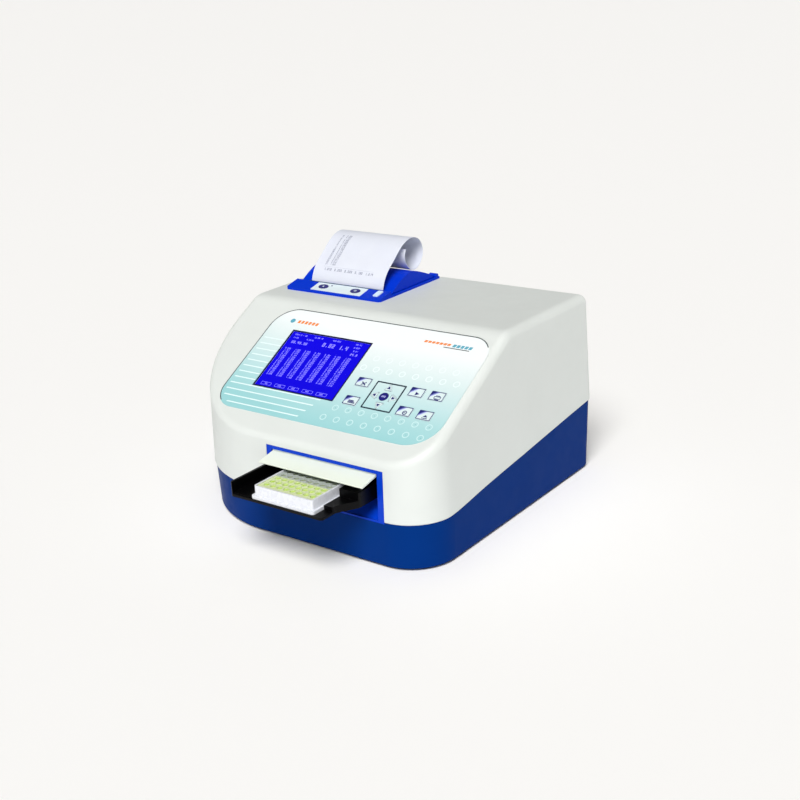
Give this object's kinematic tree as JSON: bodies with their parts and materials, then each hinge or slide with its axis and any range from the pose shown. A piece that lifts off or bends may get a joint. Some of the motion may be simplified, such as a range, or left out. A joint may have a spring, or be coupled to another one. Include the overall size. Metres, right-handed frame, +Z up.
{
  "type": "microplate reader",
  "caption": "Benchtop microplate reader: white sloped cover on a blue base, sliding plate carrier with microplate, lit display, key pad and a strip printer with curled paper.",
  "frame": {"origin": "on the surface that the feet stand on, under the middle of the whole reader with its carrier partly out", "axes": "+X to the reader's right seen from the front, +Y from the front panel to the rear panel, +Z up"},
  "size_m": [0.3824, 0.421, 0.2782],
  "materials": {
    "base_plastic": "satin moulded blue",
    "cover_plastic": "fine-textured off-white",
    "panel_steel": "grey powder coat",
    "zinc_steel": "zinc-plated sheet",
    "foot_rubber": "matt",
    "screw_steel": "zinc-plated",
    "bezel_plastic": "satin moulded blue",
    "pin_steel": "ground",
    "flap_plastic": "cream-white",
    "panel_film": "printed polyester film",
    "clear_window": "clear window",
    "lcd_screen": "lit blue display",
    "circuit_board": "solder-masked board",
    "printer_plastic": "satin moulded blue",
    "printer_film": "printed film",
    "dark_button": "dark blue-violet",
    "key_film": "printed film",
    "latch_plastic": "pale",
    "roller_rubber": "ground rubber",
    "black_plastic": "moulded black",
    "thermal_paper": "smooth thermal paper",
    "rod_steel": "ground and hardened",
    "bracket_aluminium": "machined",
    "motor_steel": "black",
    "pulley_aluminium": "machined",
    "belt_rubber": "toothed belt",
    "carrier_plastic": "black, slightly glossy",
    "bush_bronze": "sintered bronze",
    "plate_plastic": "white and clear polystyrene",
    "sample_liquid": "yellow-green liquid",
    "lamp_aluminium": "black-anodised fins",
    "lamp_glass": "quartz envelope",
    "wheel_aluminium": "anodised",
    "filter_glass": "interference filter",
    "port_steel": "nickel-plated shells"
  },
  "bodies": {
    "case": {"base_shell": "base_plastic", "top_cover": "cover_plastic", "rear_panel": "panel_steel", "chassis_plate": "zinc_steel", "rubber_feet": "foot_rubber", "cover_screws": "screw_steel", "m3_screws": "screw_steel", "slot_bezel": "bezel_plastic", "hinge_pins": "pin_steel", "panel_label": "panel_film", "lcd_window": "clear_window", "lcd_module": "lcd_screen", "keypad_board": "circuit_board", "printer_frame": "printer_plastic", "printer_label": "printer_film", "printer_mechanism": "black_plastic", "paper_bucket": "printer_plastic", "guide_rods": "rod_steel", "transport_brackets": "bracket_aluminium", "drive_motor": "motor_steel", "drive_belt": "belt_rubber", "optics_bridge": "bracket_aluminium", "lamp_housing": "lamp_aluminium", "lamp": "lamp_glass", "filter_motor": "motor_steel", "detector_board": "circuit_board", "main_board": "circuit_board", "power_supply": "zinc_steel", "fan_housing": "black_plastic", "power_inlet": "black_plastic", "data_ports": "port_steel"},
    "carrier": {"plate_carrier": "carrier_plastic", "carrier_bushes": "bush_bronze", "microplate": "plate_plastic", "well_liquid": "sample_liquid"},
    "flap": {"flap_door": "flap_plastic"},
    "drive_pulley": {"drive_pulley": "pulley_aluminium"},
    "idler_pulley": {"idler_pulley": "pulley_aluminium"},
    "printer_lid": {"printer_lid": "printer_plastic", "printed_paper": "thermal_paper"},
    "platen": {"platen_roller": "roller_rubber"},
    "paper_roll": {"paper_roll": "thermal_paper"},
    "filter_wheel": {"filter_wheel": "wheel_aluminium", "optical_filters": "filter_glass"},
    "fan_rotor": {"fan_rotor": "black_plastic"},
    "power_rocker": {"power_rocker": "black_plastic"},
    "feed_button": {"feed_button": "dark_button"},
    "select_button": {"select_button": "dark_button"},
    "lid_latch": {"lid_latch": "latch_plastic"},
    "key_clear": {"key_clear": "key_film"},
    "key_mode": {"key_mode": "key_film"},
    "key_run": {"key_run": "key_film"},
    "key_print": {"key_print": "key_film"},
    "key_no": {"key_no": "key_film"},
    "key_feed": {"key_feed": "key_film"},
    "arrow_up": {"arrow_up": "key_film"},
    "arrow_left": {"arrow_left": "key_film"},
    "arrow_down": {"arrow_down": "key_film"},
    "arrow_right": {"arrow_right": "key_film"},
    "key_enter": {"key_enter": "dark_button"}
  },
  "joints": [
    {"name": "carrier_slide", "type": "slide", "parent": "case", "child": "carrier", "axis": [0, 1, 0], "range_m": [-0.07, 0.155]},
    {"name": "drive_pulley_turn", "type": "hinge", "parent": "case", "child": "drive_pulley", "pos_m": [0, 0.16253, 0.059], "axis": [1, 0, 0], "range_deg": [-1200, 1200]},
    {"name": "idler_pulley_turn", "type": "hinge", "parent": "case", "child": "idler_pulley", "pos_m": [0, -0.09647, 0.059], "axis": [1, 0, 0], "range_deg": [-1200, 1200]},
    {"name": "flap_hinge", "type": "hinge", "parent": "case", "child": "flap", "pos_m": [0, -0.13747, 0.1051], "axis": [-1, 0, 0], "range_deg": [0, 28]},
    {"name": "lid_hinge", "type": "hinge", "parent": "case", "child": "printer_lid", "pos_m": [0, 0.18573, 0.2236], "axis": [-1, 0, 0], "range_deg": [0, 80]},
    {"name": "platen_turn", "type": "hinge", "parent": "printer_lid", "child": "platen", "pos_m": [0, 0.09633, 0.2168], "axis": [1, 0, 0], "continuous": true},
    {"name": "paper_roll_turn", "type": "hinge", "parent": "case", "child": "paper_roll", "pos_m": [0, 0.14153, 0.1905], "axis": [1, 0, 0], "continuous": true},
    {"name": "filter_wheel_turn", "type": "hinge", "parent": "case", "child": "filter_wheel", "pos_m": [0, -0.02747, 0.108], "axis": [1, 0, 0], "continuous": true},
    {"name": "fan_spin", "type": "hinge", "parent": "case", "child": "fan_rotor", "pos_m": [0.085, -0.14247, 0.047], "axis": [0, 1, 0], "continuous": true},
    {"name": "rocker_tilt", "type": "hinge", "parent": "case", "child": "power_rocker", "pos_m": [0, 0.20443, 0.047], "axis": [-1, 0, 0], "range_deg": [0, 16]},
    {"name": "key_clear_press", "type": "slide", "parent": "case", "child": "key_clear", "axis": [0, 0.4961, -0.8683], "range_m": [0, 0.0005], "stiffness_N_per_m": 400},
    {"name": "key_mode_press", "type": "slide", "parent": "case", "child": "key_mode", "axis": [0, 0.4961, -0.8683], "range_m": [0, 0.0005], "stiffness_N_per_m": 400},
    {"name": "key_run_press", "type": "slide", "parent": "case", "child": "key_run", "axis": [0, 0.4961, -0.8683], "range_m": [0, 0.0005], "stiffness_N_per_m": 400},
    {"name": "key_print_press", "type": "slide", "parent": "case", "child": "key_print", "axis": [0, 0.4961, -0.8683], "range_m": [0, 0.0005], "stiffness_N_per_m": 400},
    {"name": "key_no_press", "type": "slide", "parent": "case", "child": "key_no", "axis": [0, 0.4961, -0.8683], "range_m": [0, 0.0005], "stiffness_N_per_m": 400},
    {"name": "key_feed_press", "type": "slide", "parent": "case", "child": "key_feed", "axis": [0, 0.4961, -0.8683], "range_m": [0, 0.0005], "stiffness_N_per_m": 400},
    {"name": "arrow_up_press", "type": "slide", "parent": "case", "child": "arrow_up", "axis": [0, 0.4961, -0.8683], "range_m": [0, 0.0005], "stiffness_N_per_m": 400},
    {"name": "arrow_left_press", "type": "slide", "parent": "case", "child": "arrow_left", "axis": [0, 0.4961, -0.8683], "range_m": [0, 0.0005], "stiffness_N_per_m": 400},
    {"name": "arrow_down_press", "type": "slide", "parent": "case", "child": "arrow_down", "axis": [0, 0.4961, -0.8683], "range_m": [0, 0.0005], "stiffness_N_per_m": 400},
    {"name": "arrow_right_press", "type": "slide", "parent": "case", "child": "arrow_right", "axis": [0, 0.4961, -0.8683], "range_m": [0, 0.0005], "stiffness_N_per_m": 400},
    {"name": "key_enter_press", "type": "slide", "parent": "case", "child": "key_enter", "axis": [0, 0.4961, -0.8683], "range_m": [0, 0.0005], "stiffness_N_per_m": 400},
    {"name": "feed_button_press", "type": "slide", "parent": "case", "child": "feed_button", "axis": [0, 0.2295, -0.9733], "range_m": [0, 0.0006], "stiffness_N_per_m": 400},
    {"name": "select_button_press", "type": "slide", "parent": "case", "child": "select_button", "axis": [0, 0.2295, -0.9733], "range_m": [0, 0.0006], "stiffness_N_per_m": 400},
    {"name": "lid_latch_press", "type": "slide", "parent": "case", "child": "lid_latch", "axis": [0, 0.2295, -0.9733], "range_m": [0, 0.0008], "stiffness_N_per_m": 400}
  ],
  "couplings": [
    {"joint": "drive_pulley_turn", "follows": "carrier_slide", "rad_per_m": -114.94},
    {"joint": "idler_pulley_turn", "follows": "carrier_slide", "rad_per_m": -114.94},
    {"joint": "platen_turn", "follows": "paper_roll_turn", "ratio": -4.3636}
  ]
}
